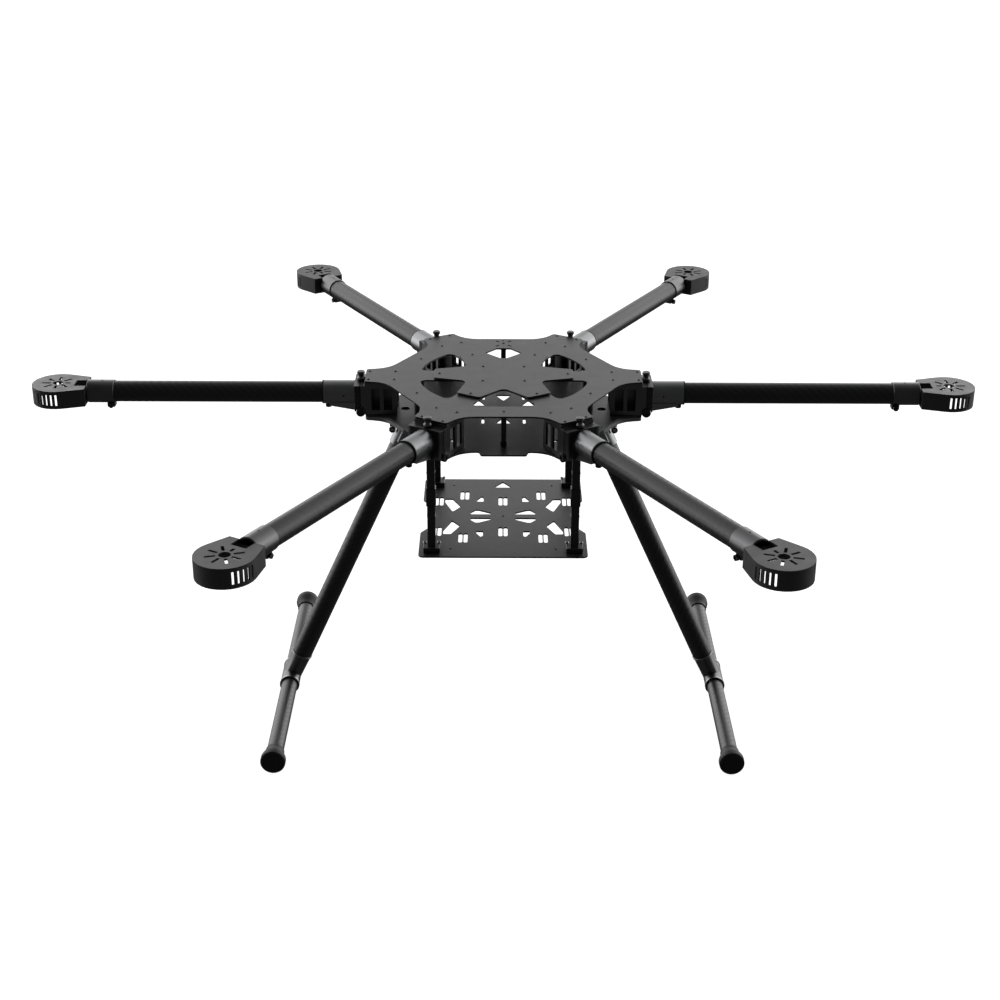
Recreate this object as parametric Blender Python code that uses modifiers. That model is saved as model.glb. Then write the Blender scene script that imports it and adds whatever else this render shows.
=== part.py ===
"""Folding hexacopter airframe: carbon plates, six fold-down arms, payload plate and skid gear.

Metres, +Z up. The origin is on the ground, midway between the skids. +X and -X are the two arms
that lie over the landing legs, and the front is -Y. Each arm is described in its own frame:
u runs outward along the arm, v across it, and heights are measured from the top of the motor mounts.
"""
import math

import bmesh
import bpy
from mathutils import Matrix, Vector

# Overall layout
ARM_COUNT = 6
ARM_STEP = 2 * math.pi / ARM_COUNT
MOTOR_RADIUS = 0.425            # frame centre to motor centre, half of the 850 mm wheelbase
MOTOR_Z = 0.332                 # ground to the top of the motor mounts
GAP = 0.0003                    # air between pieces that touch

# Heights below are relative to MOTOR_Z
TOP_PLATE_Z = (0.0075, 0.0090)
UPPER_PLATE_Z = (0.0093, 0.0112)
BOTTOM_PLATE_Z = (-0.0265, -0.0250)
PAYLOAD_PLATE_Z = (-0.1402, -0.1387)
ARM_AXIS_Z = -0.0080
HINGE_Z = -0.0220

# Hub plates
LOBE_TIP = 0.1315
LOBE_HALF_WIDTH = 0.0170
NOTCH_DISTANCE = 0.1060
NOTCH_FILLET = 0.0260
RIB_HALF_WIDTH = 0.0125
OPENING_RADIUS = 0.0810
BOLT_RADIUS = 0.0015
BOLT_ACROSS = 0.0110
BOLT_OUTER_U = 0.1280
BOLT_INNER_U = 0.1035
STANDOFF_DISTANCE = 0.0930
STANDOFF_RADIUS = 0.0025

# Arm root hinge
HINGE_U = 0.1357
BRACKET_U = (0.1010, 0.1355)
FLANGE_U = (0.1360, 0.1416)
FLANGE_TOP_Z = 0.0040
KNUCKLE_RADIUS = 0.0042
KNUCKLE_HALF_WIDTH = 0.0087
PIN_RADIUS = 0.0020
PIN_HEAD_RADIUS = 0.0043

# Tubes and sleeves
TUBE_RADIUS = 0.0100
TUBE_BORE = 0.0090
SLEEVE_RADIUS = 0.0113
SLEEVE_END_U = 0.1716
TUBE_U = (0.1438, 0.3965)

# Motor mount
MOUNT_NECK_U = 0.3970
MOUNT_NECK_HALF_WIDTH = 0.0170
MOUNT_RADIUS = 0.0245
MOUNT_HEIGHT = 0.0175
MOUNT_WALL = 0.0016
MOUNT_SLOTS = 8
MOUNT_VENTS = 5                 # slits in each flank
MOUNT_HOLE_RADIUS = 0.0050

# Landing gear, in the plane y = 0
LEG_TOP = (0.0857, -0.0310)     # x and height of the leg axis under the bottom plate
LEG_FOOT = (0.2170, -0.3200)    # where the leg axis meets the skid axis
LEG_END_DISTANCE = 0.0300       # leg tube end to skid axis, along the leg
LEG_BASE_HEIGHT = 0.0037
SKID_RADIUS = 0.0080
SKID_BORE = 0.0070
SKID_HALF_LENGTH = 0.1620
CAP_RADIUS = 0.0120
CAP_LENGTH = 0.0200
CAP_FACE_Y = 0.1645

# Payload bay
POST_X = 0.0675
POST_Y = 0.0760
POST_HALF_WIDTH = 0.0038
FOOT_HALF_WIDTH = 0.0078
FOOT_HEIGHT = 0.0050
PAYLOAD_HALF_DEPTH = 0.0905

SEGMENTS = 24                   # around tubes and sleeves
SMALL_SEGMENTS = 10             # around pins, knobs and posts
ARC_STEP = math.radians(45)     # longest arc drawn as one straight edge


# ---------------------------------------------------------------- scene helpers
def clear_scene():
    for item in list(bpy.data.objects):
        bpy.data.objects.remove(item, do_unlink=True)


def new_collection(name):
    collection = bpy.data.collections.new(name)
    bpy.context.scene.collection.children.link(collection)
    return collection


def new_material(name, colour, roughness, metallic):
    material = bpy.data.materials.new(name)
    material.use_nodes = True
    shader = material.node_tree.nodes["Principled BSDF"]
    shader.inputs["Base Color"].default_value = (*colour, 1.0)
    shader.inputs["Roughness"].default_value = roughness
    shader.inputs["Metallic"].default_value = metallic
    return material


def new_object(name, mesh, collection):
    item = bpy.data.objects.new(name, mesh)
    collection.objects.link(item)
    return item


# ---------------------------------------------------------------- outlines
def rounded(corners):
    """Points of a closed outline whose corners (x, y, radius) are turned into arcs."""
    points = []
    count = len(corners)
    for index, (x, y, radius) in enumerate(corners):
        here = Vector((x, y))
        before = (Vector(corners[index - 1][:2]) - here).normalized()
        after = (Vector(corners[(index + 1) % count][:2]) - here).normalized()
        turn = math.pi - before.angle(after)
        if radius <= 0 or turn < 0.05:
            points.append((x, y))
            continue
        start = here + before * radius * math.tan(turn / 2)
        centre = here + (before + after).normalized() * radius / math.cos(turn / 2)
        steps = max(1, math.ceil(turn * math.sqrt(radius / 0.004) / ARC_STEP - 0.01))
        sense = 1 if before.x * after.y - before.y * after.x < 0 else -1
        for step in range(steps + 1):
            arm = start - centre
            arm.rotate(Matrix.Rotation(sense * turn * step / steps, 2))
            points.append(tuple(centre + arm))
    return points


def turned_outline(points, angle, offset=(0.0, 0.0)):
    """The outline rotated about the origin and then moved."""
    cosine, sine = math.cos(angle), math.sin(angle)
    dx, dy = offset
    return [(x * cosine - y * sine + dx, x * sine + y * cosine + dy) for x, y in points]


def circle(x, y, radius, segments=6):
    step = 2 * math.pi / segments
    return [(x + radius * math.cos(step * i), y + radius * math.sin(step * i)) for i in range(segments)]


def slot(x, y, length, width, angle):
    """A straight slot with chamfered ends, its length along the given angle."""
    half, side = length / 2, width / 2
    inner = half - side * 0.6
    points = [(half, side * 0.4), (inner, side), (-inner, side), (-half, side * 0.4),
              (-half, -side * 0.4), (-inner, -side), (inner, -side), (half, -side * 0.4)]
    return turned_outline(points, angle, (x, y))


def mirrored_four(outline):
    """The outline and its mirror images across both axes."""
    return [[(x * sx, y * sy) for x, y in outline] for sx in (1, -1) for sy in (1, -1)]


def around_arms(outline):
    return [turned_outline(outline, ARM_STEP * index) for index in range(ARM_COUNT)]


# ---------------------------------------------------------------- solids
def prism(outlines, low, high):
    """A flat plate between two heights. The first outline is the edge and the rest are openings."""
    curve = bpy.data.curves.new("outline", "CURVE")
    curve.dimensions = "2D"
    curve.fill_mode = "BOTH"
    curve.extrude = (high - low) / 2
    for points in outlines:
        spline = curve.splines.new("POLY")
        spline.points.add(len(points) - 1)
        spline.use_cyclic_u = True
        for point, (x, y) in zip(spline.points, points):
            point.co = (x, y, 0.0, 1.0)
    item = new_object("outline", curve, CUTTERS)
    depsgraph = bpy.context.evaluated_depsgraph_get()
    mesh = bpy.data.meshes.new_from_object(item.evaluated_get(depsgraph))
    bpy.data.objects.remove(item, do_unlink=True)
    bm = bmesh.new()
    bm.from_mesh(mesh)
    bmesh.ops.remove_doubles(bm, verts=bm.verts, dist=1e-6)
    bmesh.ops.translate(bm, verts=bm.verts, vec=(0.0, 0.0, (low + high) / 2))
    bmesh.ops.recalc_face_normals(bm, faces=bm.faces)
    bm.to_mesh(mesh)
    bm.free()
    return mesh


def box(low, high):
    """A box between two opposite corners."""
    low, high = Vector(low), Vector(high)
    bm = bmesh.new()
    place = Matrix.Translation((low + high) / 2) @ Matrix.Diagonal((*(high - low), 1.0))
    bmesh.ops.create_cube(bm, size=1.0, matrix=place)
    return finished(bm)


def rod(start, end, radius, segments=SEGMENTS):
    """A solid round bar between two points."""
    start, end = Vector(start), Vector(end)
    direction = end - start
    bm = bmesh.new()
    place = Matrix.Translation((start + end) / 2) @ direction.to_track_quat("Z", "X").to_matrix().to_4x4()
    bmesh.ops.create_cone(bm, cap_ends=True, segments=segments, radius1=radius, radius2=radius,
                          depth=direction.length, matrix=place)
    return finished(bm)


def finished(bm):
    mesh = bpy.data.meshes.new("solid")
    bm.to_mesh(mesh)
    bm.free()
    return mesh


def moved(mesh, matrix):
    mesh.transform(matrix)
    return mesh


def turned(profile, place, closed, segments=SEGMENTS):
    """A profile of (radius, height) points spun about Z, then placed."""
    mesh = bpy.data.meshes.new("profile")
    count = len(profile)
    edges = [(i, (i + 1) % count) for i in range(count if closed else count - 1)]
    mesh.from_pydata([(radius, 0.0, height) for radius, height in profile], edges, [])
    item = new_object("profile", mesh, CUTTERS)
    screw = item.modifiers.new("turn", "SCREW")
    screw.steps = screw.render_steps = segments
    screw.use_merge_vertices = True
    screw.merge_threshold = 1e-6
    result = baked(item)
    bm = bmesh.new()
    bm.from_mesh(result)
    bmesh.ops.remove_doubles(bm, verts=bm.verts, dist=1e-6)
    bmesh.ops.recalc_face_normals(bm, faces=bm.faces)
    bm.to_mesh(result)
    bm.free()
    return moved(result, place)


def baked(item):
    """The object's evaluated mesh. The object itself is removed."""
    depsgraph = bpy.context.evaluated_depsgraph_get()
    mesh = bpy.data.meshes.new_from_object(item.evaluated_get(depsgraph))
    bpy.data.objects.remove(item, do_unlink=True)
    return mesh


def combined(base, additions=(), cuts=()):
    """The base mesh with the additions joined on and the cuts taken out."""
    item = new_object("base", base, CUTTERS)
    helpers = []
    for operation, meshes in (("UNION", additions), ("DIFFERENCE", cuts)):
        for mesh in meshes:
            helper = new_object("cutter", mesh, CUTTERS)
            helper.hide_render = True
            helper.display_type = "WIRE"
            helpers.append(helper)
            boolean = item.modifiers.new(operation.lower(), "BOOLEAN")
            boolean.operation = operation
            boolean.solver = "EXACT"
            boolean.object = helper
    mesh = baked(item)
    for helper in helpers:
        bpy.data.objects.remove(helper, do_unlink=True)
    bm = bmesh.new()
    bm.from_mesh(mesh)
    bmesh.ops.remove_doubles(bm, verts=bm.verts, dist=2e-6)
    bmesh.ops.dissolve_limit(bm, angle_limit=0.001, verts=bm.verts, edges=bm.edges)
    bm.to_mesh(mesh)
    bm.free()
    return mesh


def place_part(name, mesh, material, parent=None):
    """Add a named part to the model, in its parent's frame."""
    item = new_object(name, mesh, PARTS)
    if not mesh.materials:
        mesh.materials.append(material)
    mesh.shade_smooth()
    mesh.set_sharp_from_angle(angle=math.radians(35))
    item.parent = parent
    return item


def axis_empty(name, location, angle, parent=None):
    """An empty whose origin lies on a joint axis and whose +X points outward."""
    empty = new_object(name, None, PARTS)
    empty.empty_display_size = 0.01
    empty.location = location
    empty.rotation_euler = (0.0, 0.0, angle)
    empty.parent = parent
    return empty


def lying(u, z=0.0):
    """Turns a shape spun about Z so that its axis runs outward along the arm."""
    return Matrix.Translation((u, 0.0, z)) @ Matrix.Rotation(math.pi / 2, 4, "Y")


def world(heights):
    return tuple(MOTOR_Z + height for height in heights)


# ---------------------------------------------------------------- hub plates
def lobed_outline(tab=False):
    """Six rounded lobes joined by straight notches. The bottom plate also has a front tab."""
    outline = []
    corner_u, corner_v = 0.1109, 0.0199
    for index in range(ARM_COUNT):
        lobe = [(corner_u, -corner_v, NOTCH_FILLET), (LOBE_TIP, -LOBE_HALF_WIDTH, 0.003),
                (LOBE_TIP, LOBE_HALF_WIDTH, 0.003), (corner_u, corner_v, NOTCH_FILLET)]
        for u, v, radius in lobe:
            (x, y), = turned_outline([(u, v)], ARM_STEP * index)
            outline.append((x, y, radius))
        if tab and index == 4:
            outline += [(-0.0225, -NOTCH_DISTANCE, 0.001), (-0.0205, -0.1140, 0.0015),
                        (0.0205, -0.1140, 0.0015), (0.0225, -NOTCH_DISTANCE, 0.001)]
    return rounded(outline)


def side_opening():
    """A sector between two ribs, pointing along +X."""
    corner = math.asin(RIB_HALF_WIDTH / OPENING_RADIUS)
    limit = math.pi / 6 - corner
    corners = [(RIB_HALF_WIDTH / math.sin(math.pi / 6), 0.0, 0.004)]
    for angle, radius in ((-limit, 0.005), (-limit / 2, 0.0), (0.0, 0.0), (limit / 2, 0.0), (limit, 0.005)):
        corners.append((OPENING_RADIUS * math.cos(angle), OPENING_RADIUS * math.sin(angle), radius))
    return rounded(corners)


def ended_opening(*half):
    """A sector whose outer end is drawn by corners, given for one side only."""
    corners = [(RIB_HALF_WIDTH / math.sin(math.pi / 6), 0.0, 0.004)]
    corners += [(x, -y, radius) for x, y, radius in half]
    corners += [(x, y, radius) for x, y, radius in reversed(half)]
    return rounded(corners)


def lobe_bolt_holes():
    holes = []
    for u in (BOLT_OUTER_U, BOLT_INNER_U):
        for v in (-BOLT_ACROSS, BOLT_ACROSS):
            holes += around_arms(circle(u, v, BOLT_RADIUS))
    return holes


def standoff_bolt_holes():
    return [turned_outline(circle(STANDOFF_DISTANCE, 0.0, BOLT_RADIUS), math.pi / 6 + ARM_STEP * index)
            for index in range(ARM_COUNT)]


def top_plate():
    back = math.pi / 2
    openings = [turned_outline(side_opening(), angle) for angle in
                (math.pi / 6, math.pi * 5 / 6, -math.pi / 6, -math.pi * 5 / 6)]
    front_end = ended_opening((0.0745, 0.0286, 0.003), (0.0805, 0.0255, 0.003))
    back_end = ended_opening((0.0610, 0.0208, 0.003), (0.0775, 0.0070, 0.002))
    openings.append(turned_outline(front_end, -back))
    openings.append(turned_outline(back_end, back))
    for sx in (-1, 1):
        for sy in (-1, 1):
            openings.append(slot(0.006 * sx, 0.092 + 0.0065 * sy, 0.005, 0.0017, sx * sy * math.pi / 4))
    openings.append(circle(0.0, 0.1005, 0.0010))
    return prism([lobed_outline()] + openings + lobe_bolt_holes() + standoff_bolt_holes(),
                 *world(TOP_PLATE_Z))


def upper_plate():
    """The six-legged star on top, solid at its centre."""
    leg_end, leg_half_width, notch_radius = 0.0660, 0.0120, 0.0400
    outline = []
    for index in range(ARM_COUNT):
        corners = [(leg_end, -leg_half_width, 0.0025), (leg_end, leg_half_width, 0.0025),
                   (notch_radius * math.cos(math.pi / 6), notch_radius * math.sin(math.pi / 6), 0.006)]
        for u, v, radius in corners:
            (x, y), = turned_outline([(u, v)], ARM_STEP * index)
            outline.append((x, y, radius))
    holes = around_arms(circle(0.0610, 0.0, BOLT_RADIUS))
    holes += mirrored_four(circle(0.0197, 0.0195, BOLT_RADIUS))
    return prism([rounded(outline)] + holes, *world(UPPER_PLATE_Z))


def bottom_plate():
    holes = around_arms(circle(0.0940, 0.0, 0.0042, 10))
    for sign in (-1, 1):
        triangle = rounded([(-0.0080, 0.0370 * sign, 0.001), (0.0080, 0.0370 * sign, 0.001),
                            (0.0, 0.0215 * sign, 0.001)])
        holes.append(triangle)
    corner_cut = rounded([(0.0170, 0.0087, 0.001), (0.0305, 0.0087, 0.001), (0.0240, 0.0235, 0.001)])
    holes += mirrored_four(corner_cut)
    holes += mirrored_four(slot(0.0195, 0.0312, 0.0125, 0.0026, math.pi / 2))
    return prism([lobed_outline(tab=True)] + holes + lobe_bolt_holes(), *world(BOTTOM_PLATE_Z))


def standoff(y):
    low, high = MOTOR_Z + BOTTOM_PLATE_Z[1] + GAP, MOTOR_Z + TOP_PLATE_Z[0] - GAP
    return rod((0.0, y, low), (0.0, y, high), STANDOFF_RADIUS, SMALL_SEGMENTS)


# ---------------------------------------------------------------- folding arms
def knuckle(low_v, high_v, radius):
    return rod((HINGE_U, low_v, HINGE_Z), (HINGE_U, high_v, HINGE_Z), radius, SMALL_SEGMENTS)


def arm_bracket():
    """The fixed half of the hinge: a hollow casting with a middle web, between the two plates."""
    low, high = BOTTOM_PLATE_Z[1] + GAP, TOP_PLATE_Z[0] - GAP
    side = LOBE_HALF_WIDTH
    base = box((BRACKET_U[0], -side, low), (LOBE_TIP - GAP, side, high))
    face = box((LOBE_TIP - 0.002, -side, low), (BRACKET_U[1], side, FLANGE_TOP_Z))
    outer = [knuckle(side * sign, KNUCKLE_HALF_WIDTH * sign, KNUCKLE_RADIUS) for sign in (-1, 1)]
    relief = KNUCKLE_RADIUS + 0.0005
    cuts = [knuckle(-0.030, 0.030, PIN_RADIUS + GAP)]
    cuts.append(knuckle(-KNUCKLE_HALF_WIDTH - GAP, KNUCKLE_HALF_WIDTH + GAP, relief))
    cuts.append(box((HINGE_U - relief, -KNUCKLE_HALF_WIDTH - GAP, low - 0.005),
                    (HINGE_U + relief, KNUCKLE_HALF_WIDTH + GAP, HINGE_Z)))
    cuts.append(rod((HINGE_U, 0.0, -0.010), (HINGE_U, 0.0, 0.010), PIN_RADIUS + GAP, SMALL_SEGMENTS))
    for sign in (-1, 1):
        inner, wall = sorted((0.0012 * sign, (side - 0.0022) * sign))
        cuts.append(box((0.080, inner, low + 0.003), (0.1285, wall, high - 0.003)))
        inner, wall = sorted((0.0030 * sign, 0.0300 * sign))
        for start, end in ((0.1055, 0.1137), (0.1172, 0.1252)):
            cuts.append(box((start, inner, low + 0.0045), (end, wall, high - 0.006)))
    return combined(base, [face] + outer, cuts)


def arm_adapter():
    """The folding half: flange, knuckle, gusset and the sleeve that grips the arm tube."""
    side = LOBE_HALF_WIDTH
    flange = box((FLANGE_U[0], -side, HINGE_Z + GAP), (FLANGE_U[1], side, FLANGE_TOP_Z))
    sleeve = rod((FLANGE_U[0] + 0.001, 0.0, ARM_AXIS_Z), (SLEEVE_END_U, 0.0, ARM_AXIS_Z), SLEEVE_RADIUS)
    middle = knuckle(-KNUCKLE_HALF_WIDTH - GAP, KNUCKLE_HALF_WIDTH + GAP, KNUCKLE_RADIUS)
    gusset_side = [(0.1371, -0.0160), (0.1371, -0.0248), (0.1660, -0.0196), (0.1660, -0.0130)]
    half = 0.0072
    stand_up = Matrix(((1, 0, 0, 0), (0, 0, -1, 0), (0, 1, 0, 0), (0, 0, 0, 1)))
    gusset = moved(prism([gusset_side], -half, half), stand_up)
    relief = KNUCKLE_RADIUS + 0.0005
    cuts = [rod((TUBE_U[0] - GAP, 0.0, ARM_AXIS_Z), (0.200, 0.0, ARM_AXIS_Z), TUBE_RADIUS + GAP)]
    for sign in (-1, 1):
        cuts.append(knuckle((KNUCKLE_HALF_WIDTH - GAP) * sign, 0.030 * sign, relief))
    cuts.append(knuckle(-0.030, 0.030, PIN_RADIUS + GAP))
    cuts.append(rod((HINGE_U, 0.0, -0.010), (HINGE_U, 0.0, 0.010), PIN_RADIUS + GAP, SMALL_SEGMENTS))
    mesh = combined(flange, [middle, gusset, sleeve], cuts)
    return moved(mesh, Matrix.Translation((-HINGE_U, 0.0, -HINGE_Z)))


def hinge_pin():
    half, head = LOBE_HALF_WIDTH + GAP, 0.0020
    profile = [(0.0, half + head), (PIN_HEAD_RADIUS, half + head), (PIN_HEAD_RADIUS, half),
               (PIN_RADIUS, half), (PIN_RADIUS, -half), (PIN_HEAD_RADIUS, -half),
               (PIN_HEAD_RADIUS, -half - head), (0.0, -half - head)]
    return turned(profile, Matrix.Rotation(math.pi / 2, 4, "X"), False, SMALL_SEGMENTS)


def thumb_screw():
    """A waisted knob on a plain shank, its origin at the underside of the knob."""
    profile = [(0.0, 0.0090), (0.0038, 0.0090), (0.0038, 0.0066), (0.0026, 0.0050), (0.0026, 0.0036),
               (0.0040, 0.0022), (0.0040, 0.0), (PIN_RADIUS, 0.0), (PIN_RADIUS, -0.0110), (0.0, -0.0110)]
    return turned(profile, Matrix.Identity(4), False, SMALL_SEGMENTS)


def tube(length, outer, inner, segments=SEGMENTS):
    """A plain tube from the origin up to its length along Z."""
    profile = [(outer, length), (outer, 0.0), (inner, 0.0), (inner, length)]
    return turned(profile, Matrix.Identity(4), True, segments)


def arm_tube():
    return moved(tube(TUBE_U[1] - TUBE_U[0], TUBE_RADIUS, TUBE_BORE),
                 lying(TUBE_U[0] - HINGE_U, ARM_AXIS_Z - HINGE_Z))


def mount_outline(inset=0.0):
    """The round seat and its tapering neck, with an optional inward offset."""
    radius, half = MOUNT_RADIUS - inset, MOUNT_NECK_HALF_WIDTH - inset
    neck = MOUNT_NECK_U - MOTOR_RADIUS + inset
    tangent = math.acos(neck / math.hypot(neck, half)) - math.acos(radius / math.hypot(neck, half))
    steps = 18
    points = [(radius * math.cos(angle), radius * math.sin(angle)) for angle in
              (-tangent + 2 * tangent * step / steps for step in range(steps + 1))]
    return points + [(neck, half), (neck, -half)]


def motor_mount():
    """A hollow ventilated seat for one motor."""
    shell = prism([mount_outline()], -MOUNT_HEIGHT, 0.0)
    cuts = [prism([mount_outline(MOUNT_WALL)], -MOUNT_HEIGHT - 0.002, -MOUNT_WALL)]
    top = (-0.004, 0.002)
    cuts.append(rod((0, 0, top[0]), (0, 0, top[1]), MOUNT_HOLE_RADIUS, 12))
    slot_in, slot_out, slot_half = 0.0070, 0.0155, 0.0013
    for index in range(MOUNT_SLOTS):
        end = 0.0120 if index == MOUNT_SLOTS // 2 else slot_out
        radial = box((slot_in, -slot_half, top[0]), (end, slot_half, top[1]))
        cuts.append(moved(radial, Matrix.Rotation(2 * math.pi * index / MOUNT_SLOTS, 4, "Z")))
    neck = MOUNT_NECK_U - MOTOR_RADIUS
    cuts.append(box((neck - 0.002, -0.0075, top[0]), (neck + 0.0115, 0.0075, top[1])))
    for index in range(MOUNT_VENTS):
        for sign in (-1, 1):
            vent = box((MOUNT_RADIUS - 0.005, -0.0010, -0.0145), (MOUNT_RADIUS + 0.005, 0.0010, -0.0035))
            angle = sign * math.radians(52 + 11 * index)
            cuts.append(moved(vent, Matrix.Rotation(angle, 4, "Z")))
    mesh = combined(shell, [], cuts)
    return moved(mesh, Matrix.Translation((MOTOR_RADIUS - HINGE_U, 0.0, -HINGE_Z)))


def build_arms():
    bracket, adapter, pin = arm_bracket(), arm_adapter(), hinge_pin()
    screw, carbon_tube, mount = thumb_screw(), arm_tube(), motor_mount()
    for index in range(ARM_COUNT):
        number = index + 1
        root = axis_empty(f"arm_root_{number}", (0.0, 0.0, MOTOR_Z), ARM_STEP * index)
        hinge = axis_empty(f"arm_hinge_{number}", (HINGE_U, 0.0, HINGE_Z), 0.0, root)
        knob = axis_empty(f"thumb_screw_axis_{number}", (HINGE_U, 0.0, FLANGE_TOP_Z + GAP), 0.0, root)
        place_part(f"arm_bracket_{number}", bracket, SATIN_METAL, root)
        place_part(f"hinge_pin_{number}", pin, STEEL, hinge)
        place_part(f"arm_adapter_{number}", adapter, SATIN_METAL, hinge)
        place_part(f"arm_tube_{number}", carbon_tube, CARBON_TUBE, hinge)
        place_part(f"motor_mount_{number}", mount, BLACK_PLASTIC, hinge)
        place_part(f"thumb_screw_{number}", screw, STEEL, knob)


# ---------------------------------------------------------------- payload bay
def payload_outline():
    half, waist = 0.0800, 0.0725
    right = [(half, -PAYLOAD_HALF_DEPTH, 0.005), (half, -0.0380, 0.006), (waist, -0.0270, 0.006),
             (waist, 0.0270, 0.006), (half, 0.0380, 0.006), (half, PAYLOAD_HALF_DEPTH, 0.005)]
    left = [(-x, y, radius) for x, y, radius in reversed(right)]
    return rounded(right + left)


def payload_plate():
    strap = (0.0198, 0.0038)
    cuts = []
    for pair_x, pair_y in ((0.0385, 0.0495), (0.0640, 0.0350)):
        for offset in (-0.0025, 0.0025):
            cuts += mirrored_four(slot(pair_x + offset, pair_y, *strap, math.pi / 2))
    cuts += mirrored_four(slot(0.0025, 0.0355, *strap, math.pi / 2))
    kite = rounded([(0.0580, 0.0408, 0.001), (0.0505, 0.0408, 0.001), (0.0420, 0.0225, 0.001),
                    (0.0500, 0.0105, 0.001), (0.0580, 0.0330, 0.001)])
    shard = rounded([(0.0195, 0.0345, 0.001), (0.0260, 0.0345, 0.001), (0.0260, 0.0385, 0.001),
                     (0.0215, 0.0475, 0.001), (0.0195, 0.0440, 0.001)])
    moon = rounded([(0.0120, 0.0045, 0.001), (0.0320, 0.0045, 0.001), (0.0320, 0.0085, 0.001),
                    (0.0270, 0.0150, 0.002), (0.0235, 0.0145, 0.002), (0.0120, 0.0078, 0.001)])
    for outline in (kite, shard, moon):
        cuts += mirrored_four(outline)
    cuts.append(rounded([(-0.0095, 0.0695, 0.001), (0.0095, 0.0695, 0.001), (0.0, 0.0835, 0.001)]))
    cuts += mirrored_four(circle(0.0500, 0.0738, 0.0011))
    cuts.append(circle(0.0, 0.0, 0.0012))
    return prism([payload_outline()] + cuts, *world(PAYLOAD_PLATE_Z))


def payload_post(sign_x, sign_y):
    """A square post between the bottom plate and the payload plate, with a foot at each end."""
    low, high = MOTOR_Z + PAYLOAD_PLATE_Z[1] + GAP, MOTOR_Z + BOTTOM_PLATE_Z[0] - GAP
    x, y = POST_X * sign_x, POST_Y * sign_y
    bar, foot = POST_HALF_WIDTH, FOOT_HALF_WIDTH
    collar = bar + 0.0008
    middle = (low + high) / 2
    additions = [box((x - foot, y - foot, low), (x + foot, y + foot, low + FOOT_HEIGHT)),
                 box((x - foot, y - foot, high - FOOT_HEIGHT), (x + foot, y + foot, high)),
                 box((x - collar, y - collar, middle - 0.009), (x + collar, y + collar, middle + 0.009))]
    post = box((x - bar, y - bar, low + 0.001), (x + bar, y + bar, high - 0.001))
    return combined(post, additions)


# ---------------------------------------------------------------- landing gear
def leg_frame(side):
    """Places a shape so that its +Z runs up the leg axis, from the skid axis towards the hub."""
    foot = Vector((LEG_FOOT[0] * side, 0.0, MOTOR_Z + LEG_FOOT[1]))
    top = Vector((LEG_TOP[0] * side, 0.0, MOTOR_Z + LEG_TOP[1]))
    turn = (top - foot).to_track_quat("Z", "Y").to_matrix().to_4x4()
    return Matrix.Translation(foot) @ turn, (top - foot).length


def leg_socket(side):
    """The flange under the bottom plate and the split sleeve around the top of the leg."""
    place, length = leg_frame(side)
    flat = MOTOR_Z + BOTTOM_PLATE_Z[0] - GAP
    centre = LEG_TOP[0] * side
    half = [(0.0750, 0.0500, 0.002), (0.0935, 0.0500, 0.002), (0.1109, 0.0199, NOTCH_FILLET),
            (LOBE_TIP, LOBE_HALF_WIDTH, 0.003)]
    edge = rounded(half + [(x, -y, radius) for x, y, radius in reversed(half)])
    flange = prism([[(x * side, y) for x, y in edge]], flat - LEG_BASE_HEIGHT, flat)
    sleeve = moved(rod((0, 0, length - 0.034), (0, 0, length + 0.008), SLEEVE_RADIUS), place)
    lug = moved(box((-0.0050, -0.0165, length - 0.028), (0.0050, -0.0095, length - 0.012)),
                place @ Matrix.Rotation(math.pi / 2 * side, 4, "Z"))
    bore = moved(rod((0, 0, length - 0.060), (0, 0, length - 0.004), TUBE_RADIUS + GAP), place)
    above = box((centre - 0.050, -0.050, flat), (centre + 0.050, 0.050, flat + 0.050))
    return combined(flange, [sleeve, lug], [above, bore])


def leg_tube(side):
    place, length = leg_frame(side)
    mesh = tube(length - 0.0045 - LEG_END_DISTANCE, TUBE_RADIUS, TUBE_BORE)
    return moved(mesh, place @ Matrix.Translation((0.0, 0.0, LEG_END_DISTANCE)))


def skid_tee(side):
    """The joint of leg and skid: a sleeve around the skid and a spigot inside the leg."""
    place, _ = leg_frame(side)
    axis_x, axis_z = LEG_FOOT[0] * side, MOTOR_Z + LEG_FOOT[1]
    sleeve = rod((axis_x, -0.0200, axis_z), (axis_x, 0.0200, axis_z), 0.0104)
    neck = moved(rod((0, 0, 0.001), (0, 0, LEG_END_DISTANCE - GAP), TUBE_RADIUS), place)
    spigot = moved(rod((0, 0, 0.001), (0, 0, LEG_END_DISTANCE + 0.018), TUBE_BORE - GAP), place)
    bore = rod((axis_x, -0.050, axis_z), (axis_x, 0.050, axis_z), SKID_RADIUS + GAP)
    return combined(sleeve, [neck, spigot], [bore])


def skid_tube(side):
    mesh = tube(2 * SKID_HALF_LENGTH, SKID_RADIUS, SKID_BORE)
    place = Matrix.Translation((LEG_FOOT[0] * side, SKID_HALF_LENGTH, MOTOR_Z + LEG_FOOT[1]))
    return moved(mesh, place @ Matrix.Rotation(math.pi / 2, 4, "X"))


def skid_cap(side, end):
    """A rubber cap that flares towards its flat outer face."""
    bore = SKID_RADIUS + GAP
    inner = CAP_LENGTH - 0.0022
    profile = [(0.0, 0.0), (CAP_RADIUS - 0.0020, 0.0), (CAP_RADIUS, 0.0020), (CAP_RADIUS, 0.0068),
               (0.0096, 0.0135), (0.0091, CAP_LENGTH),
               (bore, CAP_LENGTH), (bore, CAP_LENGTH - inner), (0.0, CAP_LENGTH - inner)]
    place = Matrix.Translation((LEG_FOOT[0] * side, CAP_FACE_Y * end, MOTOR_Z + LEG_FOOT[1]))
    return turned(profile, place @ Matrix.Rotation(math.pi / 2 * end, 4, "X"), False)


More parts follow.
